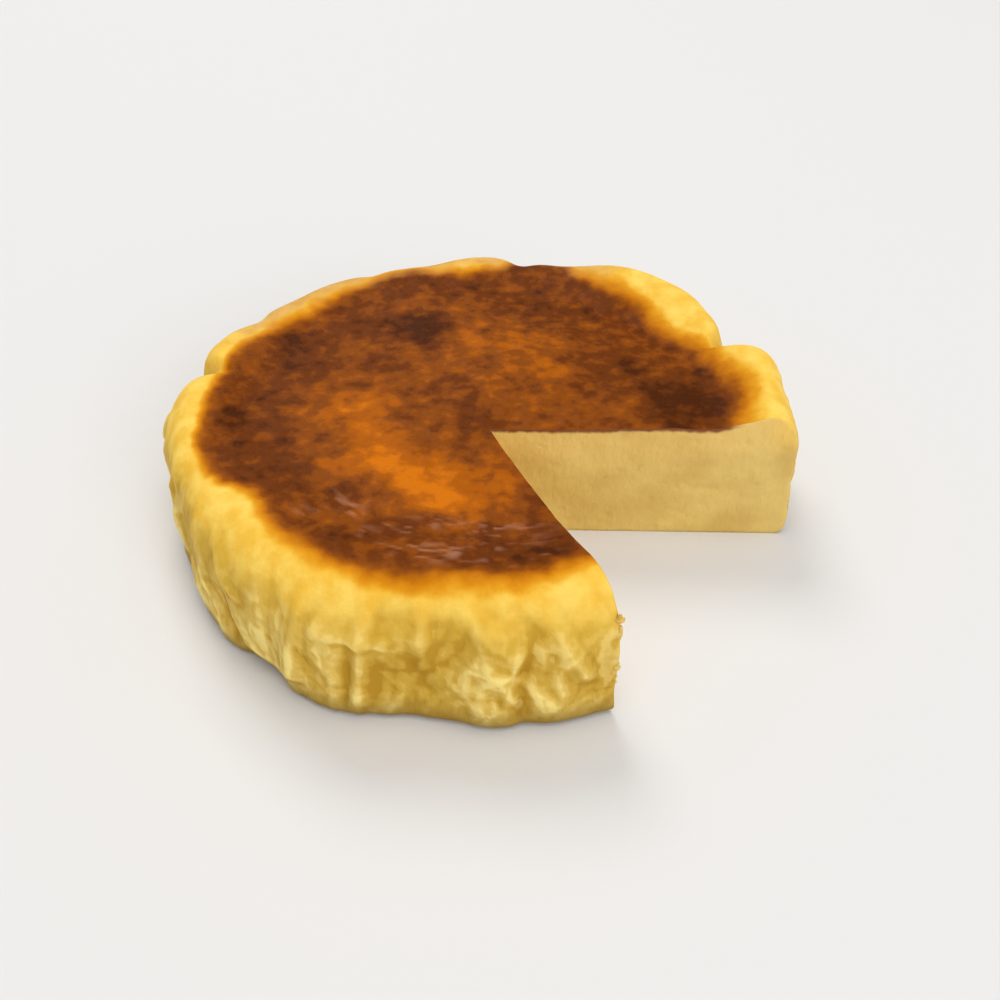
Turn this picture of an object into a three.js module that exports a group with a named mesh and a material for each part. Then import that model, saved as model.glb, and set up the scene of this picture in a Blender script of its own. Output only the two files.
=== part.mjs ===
// A Basque-style baked cheesecake for a 15 cm tin, with one slice taken out.
// Units are millimetres. +Z is up, the cake stands on z = 0, and the missing slice faces +X and -Y.
import * as THREE from "three";

// Driving dimensions, in millimetres and degrees.
const OUTER_RADIUS = 75; // half the tin, which the side wall stays close to
const MIDDLE_HEIGHT = 30; // the sunken middle of the top
const RIM_HEIGHT = 33.6; // the raised edge of the top, on average
const SHOULDER_WIDTH = { back: 7.5, front: 10.5 }; // how far in the rounded shoulder starts
const SHOULDER_DROP = 12; // how far down it ends
const SHOULDER_POWER = 0.9; // under 1, the shoulder is fuller than a quarter of an ellipse
const FRONT_STARTS = [190, 230]; // the angles over which the back's section turns into the front's
const FOOT_RADIUS = 2.6; // rounding where the wall meets the table
const CUT_APEX = [1.3, -12]; // where the two knife cuts meet
const CUT_BACK_ANGLE = -10.3; // where the far cut leaves the wall
const CUT_FRONT_ANGLE = 291.2; // where the near cut leaves it

// The wall's plan as the paper lining shaped it: (angle, radius), joined by smooth steps.
const OUTLINE = [
  [-14, 74],
  [0, 72.8],
  [14, 75.2],
  [20, 75],
  [28, 72.2],
  [44, 76],
  [58, 76.6],
  [74, 73.4],
  [90, 74.6],
  [105, 73.4],
  [125, 74.4],
  [140, 72.8],
  [162, 75.2],
  [180, 74.4],
  [193, 74.2],
  [200, 74.4],
  [216, 73.8],
  [232, 75],
  [246, 76],
  [259, 72.8],
  [266, 72.6],
  [275, 74.2],
  [292, 74.4],
];

// The height of the rim's crest: (angle, height).
const RIM = [
  [-14, 34.7],
  [12, 34.6],
  [30, 34.4],
  [52, 34.8],
  [74, 33],
  [92, 33],
  [104, 32],
  [118, 32.3],
  [150, 33],
  [180, 33.2],
  [210, 32.4],
  [240, 32.8],
  [265, 32.8],
  [292, 32.7],
];
const RIM_WAVE = { height: 0.25, count: 8, turn: 0.6 }; // small waves along the crest

// Where the sunken middle starts to rise and where it meets the rim, as shares of the radius.
const BOWL = { back: [0.68, 0.93], front: [0.6, 0.88] };

// The sunken middle's gentle swells, with their heights and lengths, and the low dome at its centre.
const CROSSED_SWELL = { height: 0.45, x: 11, y: 13 };
const DIAGONAL_SWELL = { height: 0.35, length: 19 };
const DOME = { height: 0.8, spread: 0.06 };

// The crumpled paper's print on the wall.
const BIG_FACET = { width: 10, height: 17, depth: 1.7, seed: 4 };
const SMALL_FACET = { width: 5.4, height: 7.6, depth: 1, seed: 9 };
const PAPER_DRIFT = 3.2; // how far the facets wander from an even lattice
const DRIFT_ALONG = [0.31, 0.17, 0.12]; // how fast, in radians per millimetre
const DRIFT_UP = [0.23, 0.09, 0.21];
const FACET_FADE = { rim: 6, foot: 9, footShare: 0.35 }; // weaker just under the rim and at the foot
const CREASE_FADE = 7; // the height over which creases rise out of the foot

// Paper folds that ran up the whole wall and left a groove: depth and half width in millimetres.
const GROOVES = [
  { angle: 22.5, depth: 8, half: 5.5 },
  { angle: 82, depth: 2.6, half: 5 },
  { angle: 118, depth: 1.2, half: 4 },
  { angle: 150, depth: 1.6, half: 5 },
  { angle: 170, depth: 6, half: 4.5 },
  { angle: 205, depth: 1.2, half: 5 },
];

// Single creases that stand out (+) or in (-), from one (angle, height) to another.
const CREASES = [
  { from: [222, 27], to: [228, 20], depth: 1.6, half: 3 },
  { from: [237, 25], to: [235, 8], depth: -1.8, half: 4.5 },
  { from: [243, 30], to: [240, 8], depth: 2.2, half: 3 },
  { from: [250, 21], to: [249, 3], depth: -1.5, half: 2.6 },
  { from: [246, 24], to: [255, 21.5], depth: 1.6, half: 2.6 },
  { from: [253, 30], to: [251, 3], depth: 1.7, half: 2.6 },
  { from: [255, 26.5], to: [264, 26], depth: -1.5, half: 3.5 },
  { from: [261, 29], to: [261, 16], depth: 1.3, half: 2.6 },
  { from: [268, 29], to: [275, 21], depth: 1.7, half: 3.4 },
  { from: [271, 29.5], to: [277, 28], depth: -1.5, half: 2.6 },
  { from: [278, 25], to: [276, 4], depth: -1.7, half: 3 },
  { from: [273, 16], to: [275, 9], depth: 1.5, half: 2.6 },
  { from: [281, 27], to: [286, 14], depth: 1.6, half: 3 },
  { from: [-8, 16], to: [-8, 3], depth: 1.2, half: 5 },
];

// Smaller creases all round the sides and the back, each with its own slant, length and depth.
const SIDE_CREASES = { first: 33, last: 212, spacing: 8.5, depth: 1.4, half: 2.8, seed: 15 };

// A fold of the paper under the edge lifted the foot here.
const LIFTED_FOOT = { angle: 232.5, half: 6.5, depth: 3.6, height: 6.5 };

// The skin's grid. A column is a vertical plane from the apex to the wall.
const COLUMNS = 176;
const TOP_RINGS = [0.13, 0.27, 0.42, 0.56, 0.68, 0.78, 0.86, 0.93, 1];
const TOP_STRIDES = [16, 8, 4, 4, 2, 2, 1, 1, 1];
const SHOULDER_STEPS = 6;
const WALL_STEPS = 8;
const FOOT_STEPS = 2;
const BASE_RINGS = [0.97, 0.9, 0.76, 0.55, 0.3];
const BASE_STRIDES = [1, 2, 4, 8, 16];

const { lerp } = THREE.MathUtils;
const radians = (degrees) => (degrees * Math.PI) / 180;
const clamp01 = (x) => Math.min(1, Math.max(0, x));
const smooth = (from, to, x) => {
  const t = clamp01((x - from) / (to - from));
  return t * t * (3 - 2 * t);
};

// A repeatable number from -1 to 1 for a lattice point.
function latticeValue(i, j, seed) {
  const wave = Math.sin(i * 12.9898 + j * 78.233 + seed * 37.719) * 43758.5453;
  return 2 * (wave - Math.floor(wave)) - 1;
}

// Flat triangular facets with sharp creases between them, from -1 to 1, as crumpled paper has.
function facets(along, up, { width, height, seed }) {
  const drift = PAPER_DRIFT / 2;
  const [a, b, c] = DRIFT_ALONG;
  const [d, e, f] = DRIFT_UP;
  const warpedAlong = along + drift * Math.sin(up * a + seed) + drift * Math.sin(along * b + up * c);
  const warpedUp = up + drift * Math.sin(along * d + seed * 2) + drift * Math.sin(along * e - up * f);
  const v = warpedUp / height;
  const u = warpedAlong / width - v / 2;
  const i = Math.floor(u);
  const j = Math.floor(v);
  const fu = u - i;
  const fv = v - j;
  const right = latticeValue(i + 1, j, seed);
  const above = latticeValue(i, j + 1, seed);
  if (fu + fv < 1) {
    const near = latticeValue(i, j, seed);
    return near + fu * (right - near) + fv * (above - near);
  }
  const far = latticeValue(i + 1, j + 1, seed);
  return far + (1 - fu) * (above - far) + (1 - fv) * (right - far);
}

// Every third of the side creases stands in, the others stand out.
function sideCreases({ first, last, spacing, depth, half, seed }) {
  const count = Math.round((last - first) / spacing);
  return Array.from({ length: count }, (_, k) => {
    const vary = (use) => latticeValue(k, use, seed);
    const angle = first + spacing * (k + 0.35 * vary(0));
    const slant = 4 * vary(1);
    const size = depth * (1 + 0.4 * vary(4));
    return {
      from: [angle + slant, 25 + 3.5 * vary(2)],
      to: [angle - slant, 7 + 5 * vary(3)],
      depth: k % 3 === 1 ? -size : size,
      half: half * (1 + 0.3 * vary(5)),
    };
  });
}

const ALL_CREASES = [...CREASES, ...sideCreases(SIDE_CREASES)];

// The distance in the wall's own surface, unrolled, from a point to a crease.
function distanceToCrease(angle, z, { from, to }) {
  const perDegree = radians(OUTER_RADIUS);
  const ax = (angle - from[0]) * perDegree;
  const az = z - from[1];
  const bx = (to[0] - from[0]) * perDegree;
  const bz = to[1] - from[1];
  const t = clamp01((ax * bx + az * bz) / (bx * bx + bz * bz));
  return Math.hypot(ax - t * bx, az - t * bz);
}

// A value read from a list of (angle, value), joined by smooth steps.
function valueAt(list, angle) {
  const next = Math.max(1, list.findIndex(([at]) => at >= angle));
  const [from, to] = [list[next - 1], list[next]];
  return lerp(from[1], to[1], smooth(from[0], to[0], angle));
}

// A point's angle in degrees, from just before the far cut round to the near one.
const angleOf = (x, y) => (((Math.atan2(y, x) * 180) / Math.PI + 400) % 360) - 40;

// 0 round the back of the cake, 1 along its front.
const frontness = (angle) => smooth(...FRONT_STARTS, angle);

// The cake's plan outline, with the grooves that the paper's folds left.
function outline(angle) {
  let r = valueAt(OUTLINE, angle);
  for (const groove of GROOVES) {
    const away = Math.abs(angle - groove.angle) * radians(OUTER_RADIUS);
    r -= groove.depth * Math.exp(-((away / groove.half) ** 2));
  }
  return r;
}

// How far the wall's surface stands out of the outline.
function wallRelief(angle, z) {
  const along = radians(angle) * OUTER_RADIUS;
  const underRim = smooth(RIM_HEIGHT, RIM_HEIGHT - FACET_FADE.rim, z);
  const fade = underRim * lerp(FACET_FADE.footShare, 1, smooth(0, FACET_FADE.foot, z));
  let out = fade * BIG_FACET.depth * facets(along, z, BIG_FACET);
  out += fade * SMALL_FACET.depth * facets(along, z, SMALL_FACET);
  for (const crease of ALL_CREASES) {
    const strength = clamp01(1 - distanceToCrease(angle, z, crease) / crease.half);
    out += smooth(0, CREASE_FADE, z) * crease.depth * strength;
  }
  const away = Math.abs(angle - LIFTED_FOOT.angle) / LIFTED_FOOT.half;
  out -= LIFTED_FOOT.depth * clamp01(1 - away * away) * clamp01(1 - z / LIFTED_FOOT.height);
  return out;
}

// The height of the top surface inside the shoulder.
function topHeight(x, y) {
  const r = Math.hypot(x, y) / OUTER_RADIUS;
  const angle = angleOf(x, y);
  const front = frontness(angle);
  const wave = RIM_WAVE.height * Math.sin(RIM_WAVE.count * radians(angle) + RIM_WAVE.turn);
  const rim = valueAt(RIM, angle) + wave;
  const crossed = Math.sin(x / CROSSED_SWELL.x + 0.7) * Math.sin(y / CROSSED_SWELL.y - 0.4);
  const diagonal = Math.sin((x + y) / DIAGONAL_SWELL.length);
  const swell = CROSSED_SWELL.height * crossed + DIAGONAL_SWELL.height * diagonal;
  const dome = DOME.height * Math.exp(-(r * r) / DOME.spread);
  const middle = MIDDLE_HEIGHT + swell * smooth(0.95, 0.7, r) + dome;
  const [start, end] = [0, 1].map((k) => lerp(BOWL.back[k], BOWL.front[k], front));
  return lerp(middle, rim, smooth(start, end, r));
}

// A column's plane: its direction from the apex and how far away the outline is.
function column(index) {
  const angle = lerp(CUT_BACK_ANGLE, CUT_FRONT_ANGLE, index / COLUMNS);
  const r = outline(angle);
  const dx = r * Math.cos(radians(angle)) - CUT_APEX[0];
  const dy = r * Math.sin(radians(angle)) - CUT_APEX[1];
  const reach = Math.hypot(dx, dy);
  return { angle, reach, dx: dx / reach, dy: dy / reach };
}

function pointOf({ dx, dy }, out, z) {
  return [CUT_APEX[0] + dx * out, CUT_APEX[1] + dy * out, z];
}

// The section of the cake in one column, as [stride, point] from the first ring round the apex,
// over the shoulder, down the wall and back along the base.
function section(col) {
  const rows = [];
  const add = (stride, out, z) => rows.push([stride, pointOf(col, out, z)]);
  const shoulder = lerp(SHOULDER_WIDTH.back, SHOULDER_WIDTH.front, frontness(col.angle));
  const flat = col.reach - shoulder;
  TOP_RINGS.forEach((t, k) => {
    const [x, y] = pointOf(col, t * flat, 0);
    add(TOP_STRIDES[k], t * flat, topHeight(x, y));
  });
  const edgeHeight = rows[rows.length - 1][1][2];
  const wallTop = edgeHeight - SHOULDER_DROP;
  for (let k = 1; k <= SHOULDER_STEPS; k++) {
    const turn = (k / SHOULDER_STEPS) * (Math.PI / 2);
    const z = wallTop + SHOULDER_DROP * Math.cos(turn) ** SHOULDER_POWER;
    const lean = wallRelief(col.angle, z) * smooth(0, 1, k / SHOULDER_STEPS);
    add(1, flat + shoulder * Math.sin(turn) + lean, z);
  }
  for (let k = 1; k <= WALL_STEPS; k++) {
    const z = lerp(wallTop, FOOT_RADIUS, k / WALL_STEPS);
    add(1, col.reach + wallRelief(col.angle, z), z);
  }
  const foot = col.reach + wallRelief(col.angle, FOOT_RADIUS) - FOOT_RADIUS;
  for (let k = 1; k <= FOOT_STEPS; k++) {
    const turn = (k / FOOT_STEPS) * (Math.PI / 2);
    add(1, foot + FOOT_RADIUS * Math.cos(turn), FOOT_RADIUS * (1 - Math.sin(turn)));
  }
  BASE_RINGS.forEach((t, k) => add(BASE_STRIDES[k], t * foot, 0));
  return rows;
}

// The closed skin: rings of points joined to their neighbours, and the two flat cut faces.
function cheesecakeGeometry() {
  const sections = Array.from({ length: COLUMNS + 1 }, (_, index) => section(column(index)));
  const positions = [];
  const addPoint = (point) => positions.push(...point) / 3 - 1;
  const rings = sections[0].map(([stride], row) => {
    const ring = new Map();
    for (let c = 0; c <= COLUMNS; c += stride) ring.set(c, addPoint(sections[c][row][1]));
    return { stride, ring };
  });
  const apexTop = addPoint([...CUT_APEX, topHeight(...CUT_APEX)]);
  const apexBase = addPoint([...CUT_APEX, 0]);
  const triangles = [];

  // A ring's neighbour has the same stride, or twice or half of it.
  const join = (inner, outer) => {
    const step = Math.max(inner.stride, outer.stride);
    for (let c = 0; c < COLUMNS; c += step) {
      const mid = c + step / 2;
      const [a, b] = [inner.ring.get(c), inner.ring.get(c + step)];
      const [d, e] = [outer.ring.get(c), outer.ring.get(c + step)];
      if (inner.stride === outer.stride) triangles.push([a, d, e], [a, e, b]);
      else if (inner.stride > outer.stride) {
        const m = outer.ring.get(mid);
        triangles.push([a, d, m], [a, m, b], [b, m, e]);
      } else {
        const m = inner.ring.get(mid);
        triangles.push([a, d, m], [m, d, e], [m, e, b]);
      }
    }
  };
  rings.slice(1).forEach((ring, k) => join(rings[k], ring));
  const close = ({ stride, ring }, apex, flip) => {
    for (let c = 0; c < COLUMNS; c += stride) {
      const [a, b] = [ring.get(c), ring.get(c + stride)];
      triangles.push(flip ? [apex, b, a] : [apex, a, b]);
    }
  };
  close(rings[0], apexTop, false);
  close(rings[rings.length - 1], apexBase, true);

  for (const [c, flip] of [
    [0, false],
    [COLUMNS, true],
  ]) {
    const loop = [apexTop, ...rings.map(({ ring }) => ring.get(c)), apexBase];
    const flat = loop.map((i) => {
      const [x, y, z] = positions.slice(3 * i, 3 * i + 3);
      return new THREE.Vector2(Math.hypot(x - CUT_APEX[0], y - CUT_APEX[1]), z);
    });
    for (const [a, b, d] of THREE.ShapeUtils.triangulateShape(flat, [])) {
      const face = [loop[a], loop[b], loop[d]];
      triangles.push(flip ? face.reverse() : face);
    }
  }

  const geometry = new THREE.BufferGeometry();
  geometry.setAttribute("position", new THREE.Float32BufferAttribute(positions, 3));
  geometry.setIndex(triangles.flat());
  geometry.computeVertexNormals();
  return geometry;
}

const cheesecake = new THREE.Mesh(
  cheesecakeGeometry(),
  new THREE.MeshStandardMaterial({ color: 0xe3bd66, roughness: 0.55, metalness: 0 }),
);
cheesecake.name = "cheesecake";

const group = new THREE.Group();
group.add(cheesecake);

// The origin is the middle of the base's bounding box.
const bounds = new THREE.Box3().setFromObject(cheesecake);
cheesecake.position.set(-(bounds.min.x + bounds.max.x) / 2, -(bounds.min.y + bounds.max.y) / 2, 0);

export default group;
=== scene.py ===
import math

import bmesh
import bpy
import numpy as np
from mathutils import Matrix, Vector
from mathutils.geometry import delaunay_2d_cdt


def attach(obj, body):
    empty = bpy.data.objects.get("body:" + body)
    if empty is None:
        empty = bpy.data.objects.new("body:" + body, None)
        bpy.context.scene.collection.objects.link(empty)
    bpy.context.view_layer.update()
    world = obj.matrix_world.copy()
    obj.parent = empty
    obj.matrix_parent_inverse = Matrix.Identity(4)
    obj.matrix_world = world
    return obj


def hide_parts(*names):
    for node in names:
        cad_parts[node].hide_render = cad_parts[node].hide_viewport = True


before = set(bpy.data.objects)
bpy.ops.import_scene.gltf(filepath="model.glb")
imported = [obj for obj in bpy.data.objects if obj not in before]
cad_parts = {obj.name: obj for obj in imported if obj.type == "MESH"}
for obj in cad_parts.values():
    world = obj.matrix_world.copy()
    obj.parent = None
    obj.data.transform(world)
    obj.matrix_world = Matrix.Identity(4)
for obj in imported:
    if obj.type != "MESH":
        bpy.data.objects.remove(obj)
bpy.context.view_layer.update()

# A Basque-style baked cheesecake with one slice taken out.
# The shape functions are in millimetres and degrees, in the cake's own design frame, and repeat the solid's.
# The meshes are in metres, in the row frame.

MM = 0.001
DESIGN_TO_ROW = np.array([1.466, 0.196, 0.0])  # the design frame's origin in the row frame

# The main shape, as in the solid.
OUTER_RADIUS = 75.0
MIDDLE_HEIGHT = 30.0
RIM_HEIGHT = 33.6
SHOULDER_BACK = 7.5
SHOULDER_FRONT = 10.5
SHOULDER_DROP = 12.0
SHOULDER_POWER = 0.9
FRONT_STARTS = (190, 230)  # the angles over which the back's section turns into the front's
FOOT_RADIUS = 2.6
CUT_APEX = (1.3, -12.0)
CUT_BACK_ANGLE = -10.3
CUT_FRONT_ANGLE = 291.2

# The wall's plan: (angle, radius).
OUTLINE = [
    (-14, 74), (0, 72.8), (14, 75.2), (20, 75), (28, 72.2), (44, 76), (58, 76.6), (74, 73.4), (90, 74.6),
    (105, 73.4), (125, 74.4), (140, 72.8), (162, 75.2), (180, 74.4), (193, 74.2), (200, 74.4), (216, 73.8),
    (232, 75), (246, 76), (259, 72.8), (266, 72.6), (275, 74.2), (292, 74.4),
]

# The rim's crest: (angle, height).
RIM = [
    (-14, 34.7), (12, 34.6), (30, 34.4), (52, 34.8), (74, 33), (92, 33), (104, 32), (118, 32.3), (150, 33),
    (180, 33.2), (210, 32.4), (240, 32.8), (265, 32.8), (292, 32.7),
]
RIM_WAVE = {"height": 0.25, "count": 8, "turn": 0.6}
BOWL_BACK = (0.68, 0.93)
BOWL_FRONT = (0.6, 0.88)

# The swells of the middle, and the slight dome at its centre.
CROSSED_SWELL = {"height": 0.45, "x": 11, "y": 13}
DIAGONAL_SWELL = {"height": 0.35, "length": 19}
DOME = {"height": 0.8, "spread": 0.06}

# Fine unevenness of the browned top, too small for the solid: (height, x size, y size, seed).
TOP_DIMPLES = [(0.16, 5.3, 4.7, 41), (0.07, 2.1, 2.3, 43)]

# The crumpled paper's print: facet width, height, depth and seed. The last is too fine for the solid.
PAPER_DRIFT = 3.2
DRIFT_ALONG = (0.31, 0.17, 0.12)
DRIFT_UP = (0.23, 0.09, 0.21)
BIG_FACET = (10, 17, 1.7, 4)
SMALL_FACET = (5.4, 7.6, 1.0, 9)
TINY_FACET = (2.6, 3.6, 0.48, 21)
FACET_FADE = {"rim": 6, "foot": 9, "foot_share": 0.35}
CREASE_FADE = 7
GRAIN = (0.09, 1.3, 1.1, 31)  # the wall's finest unevenness: height, width, length and seed

# How much of the solid's relief shows here. It is gentler high up, under the shoulder.
FACET_SHARE = {"low": 0.9, "high": 0.6, "from": 20, "to": 28}
TINY_SHARE = 0.6
CREASE_SHARE = 0.75

# Folds up the whole wall: (angle, depth, half width).
GROOVES = [(22.5, 8, 5.5), (82, 2.6, 5), (118, 1.2, 4), (150, 1.6, 5), (170, 6, 4.5), (205, 1.2, 5)]

# Single creases: from (angle, height), to (angle, height), depth, half width.
CREASES = [
    ((222, 27), (228, 20), 1.6, 3),
    ((237, 25), (235, 8), -1.8, 4.5),
    ((243, 30), (240, 8), 2.2, 3),
    ((250, 21), (249, 3), -1.5, 2.6),
    ((246, 24), (255, 21.5), 1.6, 2.6),
    ((253, 30), (251, 3), 1.7, 2.6),
    ((255, 26.5), (264, 26), -1.5, 3.5),
    ((261, 29), (261, 16), 1.3, 2.6),
    ((268, 29), (275, 21), 1.7, 3.4),
    ((271, 29.5), (277, 28), -1.5, 2.6),
    ((278, 25), (276, 4), -1.7, 3),
    ((273, 16), (275, 9), 1.5, 2.6),
    ((281, 27), (286, 14), 1.6, 3),
    ((-8, 16), (-8, 3), 1.2, 5),
]

# Where the paper has peeled the skin off the wall: patch width and height, how far they stand out, and seed.
PEEL = (4.2, 7, 0.08, 91)

# The wall's colour follows its relief, partly as browning and partly as painted shade in the hollows and
# painted highlight on the ridges: how far round a point is compared, and the relief that counts as 1.
TONE_REACH = 1.5
TONE_RELIEF = 0.4

# What each source adds to the wall's tone.
TONE_BIG = 0.35
TONE_SMALL = 0.35
TONE_PER_SMALL = 0.4
TONE_PER_TINY = 0.2
TONE_RIDGES = 0.8

# Smaller creases all round the sides and the back, each with its own slant, length and depth.
SIDE_CREASES = {"first": 33, "last": 212, "spacing": 8.5, "depth": 1.4, "half": 2.8, "seed": 15}
LIFTED_FOOT = (232.5, 6.5, 3.6, 6.5)  # angle, half width, depth, height

# Where the browning of the top ends: (angle, radius), and the width of the golden band outside it.
BROWN_EDGE = [
    (-14, 58), (0, 60), (10, 58.5), (21, 56.5), (34, 54.5), (52, 59.5), (60, 60), (66, 63), (73, 68.5),
    (81, 68.5), (88, 62), (95, 61), (102, 63), (109, 66), (116, 64.5), (124, 62), (132, 61), (142, 59.5),
    (152, 60.5), (162, 64), (172, 63), (188, 64), (203, 65), (211, 65), (219, 60), (231, 63.5), (243, 65),
    (256, 64.3), (268, 63.2), (280, 63.2), (292, 60),
]
GOLD_BAND = [
    (-14, 8), (12, 8), (34, 6), (60, 8), (73, 4), (81, 4), (91, 5), (109, 4), (124, 5), (136, 5.5), (150, 5),
    (162, 3), (200, 3), (225, 5), (243, 6), (280, 6.5), (292, 5),
]
EDGE_BROWNING = 0.7  # at the browned edge
BROWNING_PER_MM = 0.09  # inward from it

# How toasted the rim's own colour is: (angle, share). It is tan at the back and yellow elsewhere.
RIM_TOAST = [
    (-14, 0), (50, 0), (56, 0.3), (64, 0.9), (110, 1), (152, 1), (160, 0.5), (166, 0), (292, 0),
]

# Paler (+) and darker (-) areas of the browned top: (x, y, radius, tone).
TOP_AREAS = [
    (-12, -33, 8, 1.0), (-23, -22, 11, 0.75), (-5, -38, 7, 0.6), (-32, -2, 12, 0.45), (-15, -13, 8, 0.15),
    (18, 8, 10, 0.35), (6, 2, 6, 0.15), (-4, 26, 8, 0.35), (11, 20, 8, 0.25), (42, 34, 7, 0.15),
    (46, -1, 12, -0.8), (-17, 33, 9, -0.8), (-55, -8, 11, -0.3), (-42, -26, 9, -0.25), (-4, -8, 8, -0.5),
    (-4, -52, 9, -0.15), (14, -52, 9, -0.2), (32, 16, 9, -0.5), (-42, 22, 12, -0.35), (28, 40, 10, -0.3),
    (12, 46, 9, -0.2), (2, -31, 7, 0.35),
]

# Wrinkles of the skin along the front: the rows' radii and half width, and their height.
WRINKLE_SPAN = (222, 240, 274, 294)  # the angles where they start, are full, start to end and end
WRINKLE_ROWS = (48, 56.5)
WRINKLE_MIDDLE = 52
WRINKLE_HALF = 3.2
WRINKLE_HEIGHT = 0.25

# The skin's grid, four times as fine round the cake as the solid's.
COLUMNS = 704
CORE_RINGS = 14
INNER_RINGS = 26
RIM_RINGS = 36
SHOULDER_RINGS = 24
WALL_RINGS = 32
FOOT_RINGS = 5
BASE_RINGS = [0.985, 0.95, 0.88, 0.78, 0.64, 0.48, 0.3]
BASE_STRIDES = [2, 4, 8, 16, 32, 64, 64]
CUT_SPACING = 0.8
APEX_POINTS = 38  # down the edge where the two cuts meet

# Crumbs on the near cut: how many, and the range of their radius, height and stretch.
CRUMB_COUNT = 16
CRUMB_RADIUS = (0.4, 1.0)
CRUMB_HEIGHT = (8, 28)
CRUMB_STRETCH = (0.6, 1.3)
CRUMB_ROUGHNESS = 0.13  # of its radius
CRUMB_SEED = 7


def clamp01(x):
    return np.clip(x, 0.0, 1.0)


def smooth(start, end, x):
    t = clamp01((x - start) / (end - start))
    return t * t * (3 - 2 * t)


def lerp(a, b, t):
    return a + (b - a) * t


def lattice_value(i, j, seed):
    """A repeatable number from -1 to 1 for a lattice point."""
    wave = np.sin(i * 12.9898 + j * 78.233 + seed * 37.719) * 43758.5453
    return 2 * (wave - np.floor(wave)) - 1


def soft_noise(x, y, seed):
    """Smooth noise from -1 to 1 with a period of about 1."""
    i, j = np.floor(x), np.floor(y)
    u, v = smooth(0, 1, x - i), smooth(0, 1, y - j)
    low = lerp(lattice_value(i, j, seed), lattice_value(i + 1, j, seed), u)
    high = lerp(lattice_value(i, j + 1, seed), lattice_value(i + 1, j + 1, seed), u)
    return lerp(low, high, v)


def facet_place(along, up, facet):
    """Which cell of the drifting facet grid a point is in, and where in that cell."""
    width, height, _, seed = facet
    drift = PAPER_DRIFT / 2
    a, b, c = DRIFT_ALONG
    d, e, f = DRIFT_UP
    warped_along = along + drift * np.sin(up * a + seed) + drift * np.sin(along * b + up * c)
    warped_up = up + drift * np.sin(along * d + seed * 2) + drift * np.sin(along * e - up * f)
    v = warped_up / height
    u = warped_along / width - v / 2
    i, j = np.floor(u), np.floor(v)
    return i, j, u - i, v - j


def facets(along, up, facet):
    """Flat triangular facets with sharp creases between them, from -1 to 1, as crumpled paper has."""
    i, j, fu, fv = facet_place(along, up, facet)
    seed = facet[3]
    right = lattice_value(i + 1, j, seed)
    above = lattice_value(i, j + 1, seed)
    near = lattice_value(i, j, seed)
    far = lattice_value(i + 1, j + 1, seed)
    lower = near + fu * (right - near) + fv * (above - near)
    upper = far + (1 - fu) * (above - far) + (1 - fv) * (right - far)
    return np.where(fu + fv < 1, lower, upper)


def facet_tones(along, up, facet):
    """One tone per facet, from -1 to 1: a random tone, and painted light from above, as facets that lean back
    are paler.
    """
    i, j, fu, fv = facet_place(along, up, facet)
    seed = facet[3]
    half = (fu + fv >= 1) * 0.5
    lean = lattice_value(i, j, seed) - lattice_value(i, j + 1, seed)
    return 0.6 * lattice_value(i + half, j + half, seed + 3) + 0.25 * lean


def side_creases(first, last, spacing, depth, half, seed):
    """Every third of the side creases stands in, the others stand out."""
    creases = []
    for k in range(round((last - first) / spacing)):
        vary = [float(lattice_value(k, use, seed)) for use in range(6)]
        angle = first + spacing * (k + 0.35 * vary[0])
        slant = 4 * vary[1]
        size = depth * (1 + 0.4 * vary[4])
        top, foot = (angle + slant, 25 + 3.5 * vary[2]), (angle - slant, 7 + 5 * vary[3])
        creases.append((top, foot, -size if k % 3 == 1 else size, half * (1 + 0.3 * vary[5])))
    return creases


ALL_CREASES = CREASES + side_creases(**SIDE_CREASES)


def crease_shapes(angle, z):
    """Each crease's depth and its strength, from 0 to 1, at points of the wall."""
    per_degree = math.radians(OUTER_RADIUS)
    for start, end, depth, half in ALL_CREASES:
        ax, az = (angle - start[0]) * per_degree, z - start[1]
        bx, bz = (end[0] - start[0]) * per_degree, end[1] - start[1]
        t = clamp01((ax * bx + az * bz) / (bx * bx + bz * bz))
        yield depth, clamp01(1 - np.hypot(ax - t * bx, az - t * bz) / half)


def value_at(pairs, angle):
    """A value read from a list of (angle, value), joined by smooth steps."""
    at, value = np.array(pairs, float).T
    k = np.clip(np.searchsorted(at, angle), 1, len(at) - 1)
    return lerp(value[k - 1], value[k], smooth(at[k - 1], at[k], angle))


def frontness(angle):
    """0 round the back of the cake, 1 along its front."""
    return smooth(*FRONT_STARTS, angle)


def outline(angle):
    """The wall's plan, with the grooves that the paper's folds left."""
    r = value_at(OUTLINE, angle)
    for groove_angle, depth, half in GROOVES:
        away = (angle - groove_angle) * math.radians(OUTER_RADIUS)
        r = r - depth * np.exp(-((away / half) ** 2))
    return r


def peeled(angle, z):
    """From 0 to 1 in ragged patches of the wall, most of them on its ridges."""
    width, height, _, seed = PEEL
    along = np.radians(angle) * OUTER_RADIUS
    ragged = 0.3 * facets(along, z, SMALL_FACET)
    for octave in range(3):
        finer = 2**octave
        noise = soft_noise(along * finer / width, z * finer / height, seed + octave)
        ragged = ragged + 0.7 / finer**0.6 * noise
    return smooth(0.35, 0.65, ragged) * smooth(31, 25, z) * smooth(1, 8, z)


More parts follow.
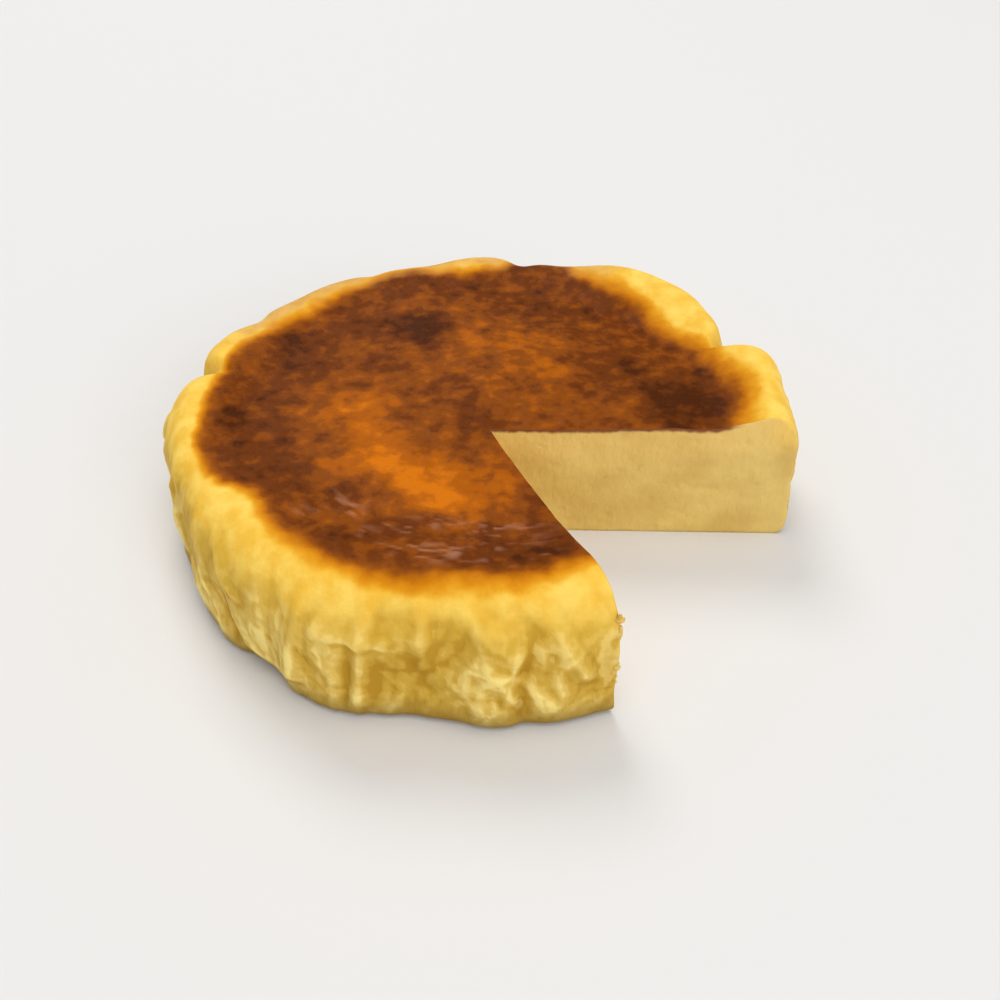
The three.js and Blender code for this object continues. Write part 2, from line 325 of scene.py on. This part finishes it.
def wall_relief(angle, z):
    """How far the wall's surface stands out of the outline."""
    along = np.radians(angle) * OUTER_RADIUS
    under_rim = smooth(RIM_HEIGHT, RIM_HEIGHT - FACET_FADE["rim"], z)
    fade = under_rim * lerp(FACET_FADE["foot_share"], 1, smooth(0, FACET_FADE["foot"], z))
    share = FACET_SHARE
    fade = fade * lerp(share["low"], share["high"], smooth(share["from"], share["to"], z))
    out = fade * BIG_FACET[2] * facets(along, z, BIG_FACET)
    out = out + fade * SMALL_FACET[2] * facets(along, z, SMALL_FACET)
    out = out + TINY_SHARE * fade * TINY_FACET[2] * facets(along, z, TINY_FACET)
    for depth, strength in crease_shapes(angle, z):
        out = out + CREASE_SHARE * smooth(0, CREASE_FADE, z) * depth * strength
    out = out + PEEL[2] * peeled(angle, z)
    foot_angle, half, depth, height = LIFTED_FOOT
    away = np.abs(angle - foot_angle) / half
    out = out - depth * clamp01(1 - away * away) * clamp01(1 - z / height)
    height, grain_width, grain_length, seed = GRAIN
    return out + height * smooth(0, 3, z) * soft_noise(along / grain_width, z / grain_length, seed)


def angle_of(x, y):
    """A point's angle, from just before the far cut round to the near one."""
    return (np.degrees(np.arctan2(y, x)) + 40) % 360 - 40


def wrinkles(x, y):
    """Short raised wrinkles along the front of the rim, in two rows, from 0 to 1."""
    r, angle = np.hypot(x, y), angle_of(x, y)
    along = np.radians(angle) * WRINKLE_MIDDLE
    start, full, fading, end = WRINKLE_SPAN
    where = smooth(start, full, angle) * smooth(end, fading, angle)
    where = where * smooth(-0.45, 0.1, soft_noise(x / 7, y / 7, 51))
    rows = sum(np.exp(-(((r - row) / WRINKLE_HALF) ** 2)) for row in WRINKLE_ROWS)
    bend = soft_noise(along / 6, r / 5, 45)
    dashes = smooth(0.15, 0.85, soft_noise(along / 2.7, (r + bend) / 0.9, 47))
    return where * clamp01(rows) * dashes


def top_height(x, y):
    """The height of the top inside the shoulder."""
    r = np.hypot(x, y)
    share = r / OUTER_RADIUS
    angle = angle_of(x, y)
    wave = RIM_WAVE["height"] * np.sin(RIM_WAVE["count"] * np.radians(angle) + RIM_WAVE["turn"])
    rim = value_at(RIM, angle) + wave
    start, end = (lerp(back, front, frontness(angle)) for back, front in zip(BOWL_BACK, BOWL_FRONT))
    crossed = np.sin(x / CROSSED_SWELL["x"] + 0.7) * np.sin(y / CROSSED_SWELL["y"] - 0.4)
    diagonal = np.sin((x + y) / DIAGONAL_SWELL["length"])
    swell = CROSSED_SWELL["height"] * crossed + DIAGONAL_SWELL["height"] * diagonal
    dome = DOME["height"] * np.exp(-(share * share) / DOME["spread"])
    middle = MIDDLE_HEIGHT + swell * smooth(0.95, 0.7, share) + dome
    height = lerp(middle, rim, smooth(start, end, share))
    inside_rim = smooth(72, 62, r)
    dimples = sum(depth * soft_noise(x / wide, y / long, seed) for depth, wide, long, seed in TOP_DIMPLES)
    return height + inside_rim * dimples + WRINKLE_HEIGHT * wrinkles(x, y)


def skin_rows():
    """The skin's rings, each a stride and its points: over the top and shoulder, down the wall and under."""
    angle = lerp(CUT_BACK_ANGLE, CUT_FRONT_ANGLE, np.arange(COLUMNS + 1) / COLUMNS)
    r = outline(angle)
    dx = r * np.cos(np.radians(angle)) - CUT_APEX[0]
    dy = r * np.sin(np.radians(angle)) - CUT_APEX[1]
    reach = np.hypot(dx, dy)
    dx, dy = dx / reach, dy / reach
    shoulder = lerp(SHOULDER_BACK, SHOULDER_FRONT, frontness(angle))
    flat = reach - shoulder
    rows = []

    def add(stride, out, z):
        out, z = np.broadcast_to(out, angle.shape), np.broadcast_to(z, angle.shape)
        points = np.stack([CUT_APEX[0] + dx * out, CUT_APEX[1] + dy * out, z], axis=1)
        rows.append((stride, points[::stride]))

    def add_top(stride, t):
        out = t * flat
        add(stride, out, top_height(CUT_APEX[0] + dx * out, CUT_APEX[1] + dy * out))

    core_end, inner_end = 0.2, 0.55  # shares of the way from the apex to the shoulder
    for k in range(CORE_RINGS):
        t = core_end * (k + 1) / CORE_RINGS
        add_top(32 if t < 0.05 else 16 if t < 0.1 else 8, t)
    for k in range(INNER_RINGS):
        t = lerp(core_end, inner_end, (k + 1) / INNER_RINGS)
        add_top(4 if t < 0.34 else 2, t)
    for k in range(RIM_RINGS):
        add_top(1, lerp(inner_end, 1.0, (k + 1) / RIM_RINGS))
    edge = top_height(CUT_APEX[0] + dx * flat, CUT_APEX[1] + dy * flat)
    wall_top = edge - SHOULDER_DROP
    for k in range(1, SHOULDER_RINGS + 1):
        turn = k / SHOULDER_RINGS * math.pi / 2
        z = wall_top + SHOULDER_DROP * math.cos(turn) ** SHOULDER_POWER
        lean = wall_relief(angle, z) * smooth(0, 1, k / SHOULDER_RINGS)
        add(1, flat + shoulder * math.sin(turn) + lean, z)
    for k in range(1, WALL_RINGS + 1):
        z = lerp(wall_top, FOOT_RADIUS, k / WALL_RINGS)
        add(1, reach + wall_relief(angle, z), z)
    foot = reach + wall_relief(angle, np.full_like(angle, FOOT_RADIUS)) - FOOT_RADIUS
    for k in range(1, FOOT_RINGS + 1):
        turn = k / FOOT_RINGS * math.pi / 2
        add(1, foot + FOOT_RADIUS * math.cos(turn), FOOT_RADIUS * (1 - math.sin(turn)))
    for t, stride in zip(BASE_RINGS, BASE_STRIDES):
        add(stride, t * foot, 0.0)
    return rows


class Skin:
    """The cake's mesh as it grows: its points, its faces, and which face is the first of the cuts."""

    def __init__(self):
        self.points = []
        self.faces = []
        self.cut_from = None

    def add(self, points):
        first = len(self.points)
        self.points.extend(np.atleast_2d(points).tolist())
        return np.arange(first, len(self.points))

    def join(self, inner, outer):
        """Faces between two rings, whose strides are equal or differ by a factor of two."""
        (inner_stride, a), (outer_stride, d) = inner, outer
        if inner_stride == outer_stride:
            self.faces += zip(a[:-1], d[:-1], d[1:], a[1:])
        elif inner_stride > outer_stride:
            mid = d[1::2]
            self.faces += zip(a[:-1], d[:-2:2], mid)
            self.faces += zip(a[:-1], mid, a[1:])
            self.faces += zip(a[1:], mid, d[2::2])
        else:
            mid = a[1::2]
            self.faces += zip(a[:-2:2], d[:-1], mid)
            self.faces += zip(mid, d[:-1], d[1:])
            self.faces += zip(mid, d[1:], a[2::2])


def inside_points(loop):
    """An even triangular grid of points inside a closed outline, clear of its edge."""
    low, high = loop.min(axis=0), loop.max(axis=0)
    rows = np.arange(low[1], high[1], CUT_SPACING * math.sqrt(3) / 2)
    grid = []
    for k, v in enumerate(rows):
        u = np.arange(low[0] + (k % 2) * CUT_SPACING / 2, high[0], CUT_SPACING)
        grid.append(np.stack([u, np.full_like(u, v)], axis=1))
    grid = np.concatenate(grid)
    a, b = loop, np.roll(loop, -1, axis=0)
    span = b - a
    inside = np.zeros(len(grid), bool)
    nearest = np.full(len(grid), np.inf)
    for (ax, ay), (bx, by), (sx, sy) in zip(a, b, span):
        px, py = grid[:, 0] - ax, grid[:, 1] - ay
        t = clamp01((px * sx + py * sy) / (sx * sx + sy * sy))
        nearest = np.minimum(nearest, np.hypot(px - t * sx, py - t * sy))
        crosses = (ay > grid[:, 1]) != (by > grid[:, 1])
        with np.errstate(divide="ignore", invalid="ignore"):
            inside ^= crosses & (px < (grid[:, 1] - ay) * sx / sy)
    keep = inside & (nearest > CUT_SPACING * 0.55)
    return grid[keep], nearest[keep]


def cut_relief(u, z, seed):
    """A cut face's texture: a knife's faint drag, and the crumb's pores."""
    drag = 0.1 * soft_noise(u / 9, z / 2.2, seed) + 0.09 * soft_noise(u / 2.7, z / 2.1, seed + 1)
    pores = smooth(0.55, 0.95, soft_noise(u / 1.9, z / 1.7, seed + 2))
    return drag - 0.35 * pores


def build_skin():
    skin = Skin()
    rings = [(stride, skin.add(points)) for stride, points in skin_rows()]
    apex_top = [*CUT_APEX, float(top_height(*map(np.float64, CUT_APEX)))]
    apex_base = np.array([*CUT_APEX, 0.0])
    apex = skin.add([lerp(np.array(apex_top), apex_base, t) for t in np.linspace(0, 1, APEX_POINTS)])
    for inner, outer in zip(rings, rings[1:]):
        skin.join(inner, outer)
    first, last = rings[0][1], rings[-1][1]
    skin.faces += [(apex[0], a, b) for a, b in zip(first[:-1], first[1:])]
    skin.faces += [(apex[-1], b, a) for a, b in zip(last[:-1], last[1:])]
    skin.cut_from = len(skin.faces)

    cut_edges = []
    for end, seed in ((0, 61), (-1, 71)):
        loop = np.concatenate([apex[:1], [ids[end] for _, ids in rings], apex[:0:-1]])
        points = np.array([skin.points[i] for i in loop])
        along = (points[len(rings) // 2] - points[0])[:2]
        along = along / np.hypot(*along)
        flat = np.stack([(points[:, :2] - CUT_APEX) @ along, points[:, 2]], axis=1)
        grid, nearest = inside_points(flat)
        normal = np.array([along[1], -along[0]]) * (1 if end == 0 else -1)
        depth = cut_relief(grid[:, 0], grid[:, 1], seed) * smooth(0, 1.6, nearest)
        place = np.array(CUT_APEX) + grid[:, :1] * along + depth[:, None] * normal
        new = skin.add(np.column_stack([place, grid[:, 1]]))
        ids = np.concatenate([loop, new])
        outline_2d = [Vector(p) for p in np.concatenate([flat, grid]).tolist()]
        made = delaunay_2d_cdt(outline_2d, [], [list(range(len(loop)))], 1, 1e-7)
        for face in made[2]:
            a, b, c = (ids[made[3][i][0]] for i in face)
            skin.faces.append((a, b, c) if end == 0 else (a, c, b))
        cut_edges += list(zip(loop, np.roll(loop, -1)))
    return skin, cut_edges


skin, cut_edges = build_skin()
points = np.array(skin.points)
mesh = bpy.data.meshes.new("cheesecake_skin")
mesh.from_pydata(((points + DESIGN_TO_ROW) * MM).tolist(), [], [tuple(map(int, f)) for f in skin.faces])
mesh.validate()


def browning(x, y):
    """1 where the top is fully browned, 0 at the outer edge of the golden band round it."""
    angle = angle_of(x, y)
    inside = value_at(BROWN_EDGE, angle) - np.hypot(x, y)
    inside = inside + 1.0 * soft_noise(x / 7, y / 7, 81) + 0.5 * soft_noise(x / 2.6, y / 2.6, 83)
    deeper = EDGE_BROWNING + BROWNING_PER_MM * inside
    fading = EDGE_BROWNING + EDGE_BROWNING * inside / value_at(GOLD_BAND, angle)
    return clamp01(np.where(inside > 0, deeper, fading))


def rim_toast(x, y):
    """How tan the rim's crest is, from 0 to 1. The outside of the shoulder stays yellow."""
    angle, r = angle_of(x, y), np.hypot(x, y)
    return value_at(RIM_TOAST, angle) * smooth(60, 65, r) * smooth(0.5, 5.5, outline(angle) - r)


def top_tone(x, y):
    """Paler above 0 and darker below it: darker near the rim, then the listed areas."""
    tone = -0.22 * smooth(34, 56, np.hypot(x, y))
    for ax, ay, radius, value in TOP_AREAS:
        tone = tone + value * np.exp(-((x - ax) ** 2 + (y - ay) ** 2) / radius**2)
    return tone


def side_height(x, y, z):
    """The height on the side, and well above it over the whole of the top."""
    return lerp(RIM_HEIGHT + 4, z, smooth(59, 68, np.hypot(x, y)))


def wall_tone(angle, z):
    """From about -1, a tan hollow, to 1, a pale ridge: how far the wall stands out from what is round it,
    with tones per facet; partly browning, partly painted shade and painted highlight.
    """
    here, around = wall_relief(angle, z), 0.0
    for turn in np.radians(np.arange(0, 360, 45)):
        beside = angle + TONE_REACH * math.cos(turn) / math.radians(OUTER_RADIUS)
        around = around + wall_relief(beside, z + TONE_REACH * math.sin(turn)) / 8
    along = np.radians(angle) * OUTER_RADIUS
    tone = TONE_BIG * facets(along, z, BIG_FACET) + TONE_SMALL * facets(along, z, SMALL_FACET)
    tone = tone + TONE_PER_SMALL * facet_tones(along, z, SMALL_FACET)
    tone = tone + TONE_PER_TINY * facet_tones(along, z, TINY_FACET)
    return tone + TONE_RIDGES * np.tanh((here - around) / TONE_RELIEF)


def rim_in_cut(x, y, z):
    """1 where a cut face has the rim's own yellow, in its outer upper corner."""
    return smooth(64, 71, np.hypot(x, y)) * smooth(23, 31, z)


def paint(name, values):
    mesh.attributes.new(name, "FLOAT", "POINT").data.foreach_set("value", values.astype(np.float32))


x, y, z = points.T
angle = angle_of(x, y)
paint("browning", browning(x, y))
paint("top_tone", top_tone(x, y))
paint("wall_tone", wall_tone(angle, z))
paint("peeled", peeled(angle, z))
paint("wrinkles", wrinkles(x, y))
paint("side_height", side_height(x, y, z))
paint("toast", rim_toast(x, y))
paint("rim_cut", rim_in_cut(x, y, z))
paint("under_top", np.maximum(0.0, top_height(x, y) - z))

edges = np.empty(len(mesh.edges) * 2, np.int32)
mesh.edges.foreach_get("vertices", edges)
edges = np.sort(edges.reshape(-1, 2), axis=1)
wanted = np.sort(np.array(cut_edges), axis=1)
size = len(points)
sharp = np.isin(edges[:, 0] * size + edges[:, 1], wanted[:, 0] * size + wanted[:, 1])
mesh.attributes.new("sharp_edge", "BOOLEAN", "EDGE").data.foreach_set("value", sharp)
mesh.polygons.foreach_set("material_index", (np.arange(len(mesh.polygons)) >= skin.cut_from).astype(np.int32))
mesh.shade_smooth()

cake = bpy.data.objects.new("cheesecake_skin", mesh)
bpy.context.scene.collection.objects.link(cake)


# Materials.
def srgb(red, green, blue):
    """A colour as the eye names it, from 0 to 255, as the renderer's linear values."""
    values = np.array([red, green, blue]) / 255
    linear = np.where(values <= 0.04045, values / 12.92, ((values + 0.055) / 1.055) ** 2.4)
    return (*linear.tolist(), 1.0)


class Graph:
    """Short calls for building a material's nodes."""

    def __init__(self, name):
        self.material = bpy.data.materials.new(name)
        self.material.use_nodes = True
        self.tree = self.material.node_tree
        self.tree.nodes.clear()
        output = self.tree.nodes.new("ShaderNodeOutputMaterial")
        self.shader = self.tree.nodes.new("ShaderNodeBsdfPrincipled")
        self.tree.links.new(self.shader.outputs[0], output.inputs[0])
        self.place = self.tree.nodes.new("ShaderNodeTexCoord").outputs["Object"]

    def put(self, socket, value):
        if isinstance(value, bpy.types.NodeSocket):
            self.tree.links.new(value, socket)
        else:
            socket.default_value = value

    def node(self, kind, inputs, **settings):
        made = self.tree.nodes.new(kind)
        for key, value in settings.items():
            setattr(made, key, value)
        for socket, value in inputs.items():
            self.put(made.inputs[socket], value)
        return made

    def attribute(self, name):
        return self.node("ShaderNodeAttribute", {}, attribute_name=name).outputs["Fac"]

    def math(self, operation, a, b):
        return self.node("ShaderNodeMath", {0: a, 1: b}, operation=operation).outputs[0]

    def vector_math(self, operation, a, b):
        return self.node("ShaderNodeVectorMath", {0: a, 1: b}, operation=operation).outputs[0]

    def remap(self, value, start, end, low=0.0, high=1.0, linear=False):
        sockets = {0: value, 1: start, 2: end, 3: low, 4: high}
        kind = "LINEAR" if linear else "SMOOTHSTEP"
        return self.node("ShaderNodeMapRange", sockets, interpolation_type=kind).outputs[0]

    def noise(self, size_mm, detail=3.0, stretch=None, seed=0.0):
        """Noise from about 0 to 1, its features about size_mm across."""
        place = self.vector_math("ADD", self.place, (0.1 * seed, 0.1 * seed, 0))
        if stretch:
            place = self.vector_math("MULTIPLY", place, stretch)
        sockets = {"Vector": place, "Scale": 1 / (size_mm * MM), "Detail": detail}
        return self.node("ShaderNodeTexNoise", sockets).outputs[0]

    def spread(self, noise, amount):
        """Noise turned into an offset from -amount to amount."""
        return self.math("MULTIPLY", self.math("SUBTRACT", noise, 0.5), 2 * amount)

    def ramp(self, factor, stops, smooth_stops=True):
        made = self.node("ShaderNodeValToRGB", {0: factor})
        made.color_ramp.interpolation = "EASE" if smooth_stops else "LINEAR"
        elements = made.color_ramp.elements
        while len(elements) < len(stops):
            elements.new(0.5)
        for element, (position, tint) in zip(elements, stops):
            element.position = position
            element.color = tint
        return made.outputs[0]

    def mix(self, factor, a, b):
        made = self.node("ShaderNodeMix", {0: factor}, data_type="RGBA")
        self.put(made.inputs[6], a)
        self.put(made.inputs[7], b)
        return made.outputs[2]

    def bump(self, height, depth_mm, below=None):
        sockets = {"Height": height, "Strength": 1.0, "Distance": depth_mm * MM}
        if below is not None:
            sockets["Normal"] = below
        return self.node("ShaderNodeBump", sockets).outputs[0]


def top_colour(g):
    """The browned top, mottled, with its paler and darker areas, and a painted sheen: pale pink painted on
    the wrinkles as their glints.
    """
    mottle = g.math("ADD", g.spread(g.noise(10, 3, seed=1), 0.45), g.spread(g.noise(3.6, 4, seed=2), 0.44))
    baked = g.math("ADD", g.math("MULTIPLY", g.attribute("top_tone"), 0.46), g.math("ADD", mottle, 0.42))
    top = g.ramp(baked, [
        (0.0, srgb(72, 30, 0)),
        (0.25, srgb(104, 48, 4)),
        (0.45, srgb(132, 66, 6)),
        (0.7, srgb(168, 86, 0)),
        (1.0, srgb(204, 110, 0)),
    ])
    # Painted highlight: the wrinkles' glints, painted as a pale pink over the brown.
    return g.mix(g.math("MULTIPLY", g.attribute("wrinkles"), 0.55), top, srgb(184, 124, 92))


def shoulder_colour(g, band):
    """Yellow on the rim, tan where it is toasted, and golden up to the browned edge."""
    rim = g.ramp(g.noise(5, 4, seed=4), [
        (0.3, srgb(236, 186, 66)),
        (0.7, srgb(246, 208, 98)),
    ])
    toasted = g.ramp(g.noise(5, 4, seed=15), [
        (0.3, srgb(206, 154, 78)),
        (0.7, srgb(232, 188, 112)),
    ])
    toast = g.math("ADD", g.attribute("toast"), g.spread(g.noise(6, 4, seed=16), 0.8))
    toast = g.math("MULTIPLY", g.remap(toast, 0.2, 1.1), 0.9)
    rim = g.mix(toast, rim, toasted)
    edge = g.ramp(band, [
        (0.0, srgb(244, 198, 80)),
        (0.2, srgb(232, 176, 50)),
        (0.38, srgb(218, 146, 24)),
        (0.56, srgb(194, 116, 8)),
        (0.76, srgb(146, 76, 4)),
        (1.0, srgb(122, 60, 4)),
    ], smooth_stops=False)
    shoulder = g.mix(g.remap(band, 0.0, 0.35), rim, edge)
    return g.mix(g.math("MULTIPLY", toast, 0.4), shoulder, srgb(200, 144, 70))


def wall_colour(g, height, streaks):
    """Tan in the wall's hollows and pale on its ridges and streaks, partly browning and partly painted shade
    and painted highlight; pale on peeled patches, and more golden higher up.
    """
    # Painted shade and painted highlight, partly browning: the hollows tan, and the ridges, up-facing facets
    # and raised streaks (the bump's height) pale.
    paper = g.math("ADD", g.attribute("wall_tone"), g.spread(streaks, 0.6))
    wall = g.ramp(g.remap(paper, -1.0, 1.0, linear=True), [
        (0.1, srgb(186, 142, 44)),
        (0.4, srgb(208, 168, 68)),
        (0.6, srgb(224, 188, 94)),
        (0.9, srgb(248, 222, 134)),
    ])
    wall = g.mix(g.remap(height, 15.0, 27.0, 0.0, 0.5), wall, srgb(226, 182, 68))
    ragged = g.math("ADD", g.attribute("peeled"), g.spread(g.noise(1.6, 3, seed=17), 0.35))
    return g.mix(g.remap(ragged, 0.3, 0.9, 0.0, 0.35), wall, srgb(246, 218, 132))


def custard_body(g, weight, radius):
    """Light that goes a little way into the custard."""
    g.shader.inputs["Subsurface Weight"].default_value = weight
    g.shader.inputs["Subsurface Radius"].default_value = radius
    g.shader.inputs["Subsurface Scale"].default_value = 3.0 * MM


def skin_material():
    g = Graph("baked_skin")
    brown = g.attribute("browning")
    height = g.attribute("side_height")
    streaks = g.noise(2.0, 4, stretch=(1, 1, 0.3), seed=5)

    band = g.math("ADD", brown, g.spread(g.noise(4, 4, seed=3), 0.2))
    above = g.mix(g.remap(band, 0.7, 1.0), shoulder_colour(g, band), top_colour(g))
    on_ridges = g.math("MULTIPLY", g.attribute("wall_tone"), 0.6)
    lower = g.math("ADD", height, g.math("ADD", g.spread(g.noise(5, 3, seed=6), 3.2), on_ridges))
    colour = g.mix(g.remap(lower, 25.0, 29.5), wall_colour(g, height, streaks), above)
    # Painted shade and painted reflection: the wall turns darker and olive over its lowest 8 mm, for the
    # shadow at its foot and a dark plate's reflection there.
    colour = g.mix(g.remap(height, 8.0, 0.0, 0.0, 0.85), colour, srgb(132, 106, 46))
    g.put(g.shader.inputs["Base Color"], colour)

    gloss = g.remap(g.math("ADD", brown, g.spread(g.noise(5, 3, seed=7), 0.2)), 0.4, 1.0, 0.58, 0.44)
    uneven = g.spread(g.noise(2.2, 3, seed=8), 0.12)
    g.put(g.shader.inputs["Roughness"], g.math("ADD", gloss, uneven))
    fine = g.bump(g.noise(1.0, 3, seed=9), 0.12)
    g.put(g.shader.inputs["Normal"], g.bump(streaks, 0.3, fine))
    g.put(g.shader.inputs["Coat Weight"], g.math("MULTIPLY", g.attribute("wrinkles"), 0.3))
    g.shader.inputs["Coat Roughness"].default_value = 0.26
    g.shader.inputs["Specular IOR Level"].default_value = 0.03
    custard_body(g, 0.12, (1.0, 0.55, 0.25))
    return g.material


def cut_material():
    g = Graph("cut_custard")
    cloud = g.noise(12, 3, seed=11)
    base = g.ramp(cloud, [(0.3, srgb(214, 177, 90)), (0.7, srgb(230, 197, 110))])
    pores = g.remap(g.noise(1.6, 2, seed=12), 0.66, 0.78)
    base = g.mix(g.math("MULTIPLY", pores, 0.35), base, srgb(190, 146, 70))
    under = g.math("ADD", g.attribute("under_top"), g.spread(g.noise(2, 2, seed=13), 0.5))
    rim = g.math("MULTIPLY", g.attribute("rim_cut"), 0.8)
    base = g.mix(rim, base, srgb(242, 200, 84))
    base = g.mix(g.remap(under, 14.0, 2.0, 0.0, 0.3), base, srgb(250, 204, 112))
    brown = g.remap(g.attribute("browning"), 0.4, 0.8)
    line = g.math("MULTIPLY", g.remap(under, 1.3, 0.3), brown)
    base = g.mix(line, base, srgb(126, 66, 20))
    g.put(g.shader.inputs["Base Color"], base)
    g.shader.inputs["Roughness"].default_value = 0.55
    drag = g.noise(1.5, 4, stretch=(1, 1, 0.6), seed=14)
    g.put(g.shader.inputs["Normal"], g.bump(drag, 0.35))
    custard_body(g, 0.15, (1.0, 0.6, 0.3))
    return g.material


mesh.materials.append(skin_material())
mesh.materials.append(cut_material())


def make_crumbs():
    """Crumbs that cling to the near cut's outer edge."""
    random = np.random.default_rng(CRUMB_SEED)
    outer = np.array([math.cos(math.radians(CUT_FRONT_ANGLE)), math.sin(math.radians(CUT_FRONT_ANGLE))])
    outer = outer * float(outline(CUT_FRONT_ANGLE))
    along = (outer - CUT_APEX) / np.hypot(*(outer - CUT_APEX))
    crumbs = bmesh.new()
    for _ in range(CRUMB_COUNT):
        radius = random.uniform(*CRUMB_RADIUS)
        z = random.uniform(*CRUMB_HEIGHT)
        out = np.hypot(*(outer - CUT_APEX)) + float(wall_relief(CUT_FRONT_ANGLE, z)) - 0.9 * radius
        centre = [*(CUT_APEX + along * out), z]
        place = Matrix.Translation(((np.array(centre) + DESIGN_TO_ROW) * MM).tolist())
        shape = Matrix.Diagonal([*random.uniform(*CRUMB_STRETCH, 3), 1])
        made = bmesh.ops.create_icosphere(crumbs, subdivisions=2, radius=radius * MM, matrix=place @ shape)
        for vert in made["verts"]:
            vert.co += Vector(random.normal(0, CRUMB_ROUGHNESS * radius * MM, 3).tolist())
    data = bpy.data.meshes.new("crumbs")
    crumbs.to_mesh(data)
    crumbs.free()
    data.shade_smooth()
    data.materials.append(crumb_material())
    piece = bpy.data.objects.new("crumbs", data)
    bpy.context.scene.collection.objects.link(piece)
    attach(piece, "root")


def crumb_material():
    g = Graph("custard_crumb")
    colour = g.ramp(g.noise(3, 2), [(0.3, srgb(214, 170, 76)), (0.7, srgb(234, 200, 110))])
    g.put(g.shader.inputs["Base Color"], colour)
    g.shader.inputs["Roughness"].default_value = 0.7
    g.shader.inputs["Specular IOR Level"].default_value = 0.1
    return g.material


make_crumbs()

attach(cake, "root")
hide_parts("cheesecake")


# Floor, light and camera.
def make_floor():
    half = 3.0
    floor_mesh = bpy.data.meshes.new("floor")
    corners = [(-half, -half, 0), (half, -half, 0), (half, half, 0), (-half, half, 0)]
    floor_mesh.from_pydata(corners, [], [(0, 1, 2, 3)])
    floor = bpy.data.objects.new("floor", floor_mesh)
    bpy.context.scene.collection.objects.link(floor)
    g = Graph("pale_floor")
    g.shader.inputs["Base Color"].default_value = srgb(222, 221, 220)
    g.shader.inputs["Roughness"].default_value = 0.9
    floor_mesh.materials.append(g.material)


LIGHT_AIM = (0, 0, 0.02)


def area_light(name, place, size, power, tint=(1.0, 1.0, 1.0)):
    data = bpy.data.lights.new(name, "AREA")
    data.shape = "DISK"
    data.size = size
    data.energy = power
    data.color = tint
    light = bpy.data.objects.new(name, data)
    light.location = place
    light.rotation_euler = (Vector(LIGHT_AIM) - Vector(place)).to_track_quat("-Z", "Y").to_euler()
    bpy.context.scene.collection.objects.link(light)


make_floor()
area_light("window", (-0.6, 1.7, 2.2), size=1.4, power=32, tint=(1.0, 0.98, 0.95))
area_light("overhead", (0.25, -0.5, 2.5), size=2.0, power=22)
area_light("front_fill", (1.3, -2.1, 1.3), size=1.6, power=24)

world = bpy.data.worlds.new("studio")
world.use_nodes = True
background = world.node_tree.nodes["Background"]
background.inputs["Color"].default_value = (0.95, 0.95, 0.95, 1)
background.inputs["Strength"].default_value = 0.5
bpy.context.scene.world = world
bpy.context.scene.view_settings.view_transform = "Standard"

CAMERA_PLACE = (3.80, -207.88, 168.54)  # in the design frame
CAMERA_TILT = 50.87  # degrees up from straight down
CAMERA_ROLL = 0.23
CAMERA_LENS = 37.87
camera_data = bpy.data.cameras.new("camera")
camera_data.sensor_width = 36.0
camera_data.lens = CAMERA_LENS
camera_data.clip_start = 0.01
camera = bpy.data.objects.new("camera", camera_data)
bpy.context.scene.collection.objects.link(camera)
place = Vector(((np.array(CAMERA_PLACE) + DESIGN_TO_ROW) * MM).tolist())
tilt = Matrix.Rotation(math.radians(CAMERA_TILT), 4, "X")
roll = Matrix.Rotation(math.radians(CAMERA_ROLL), 4, "Z")
camera.matrix_world = Matrix.Translation(place) @ tilt @ roll
bpy.context.scene.camera = camera
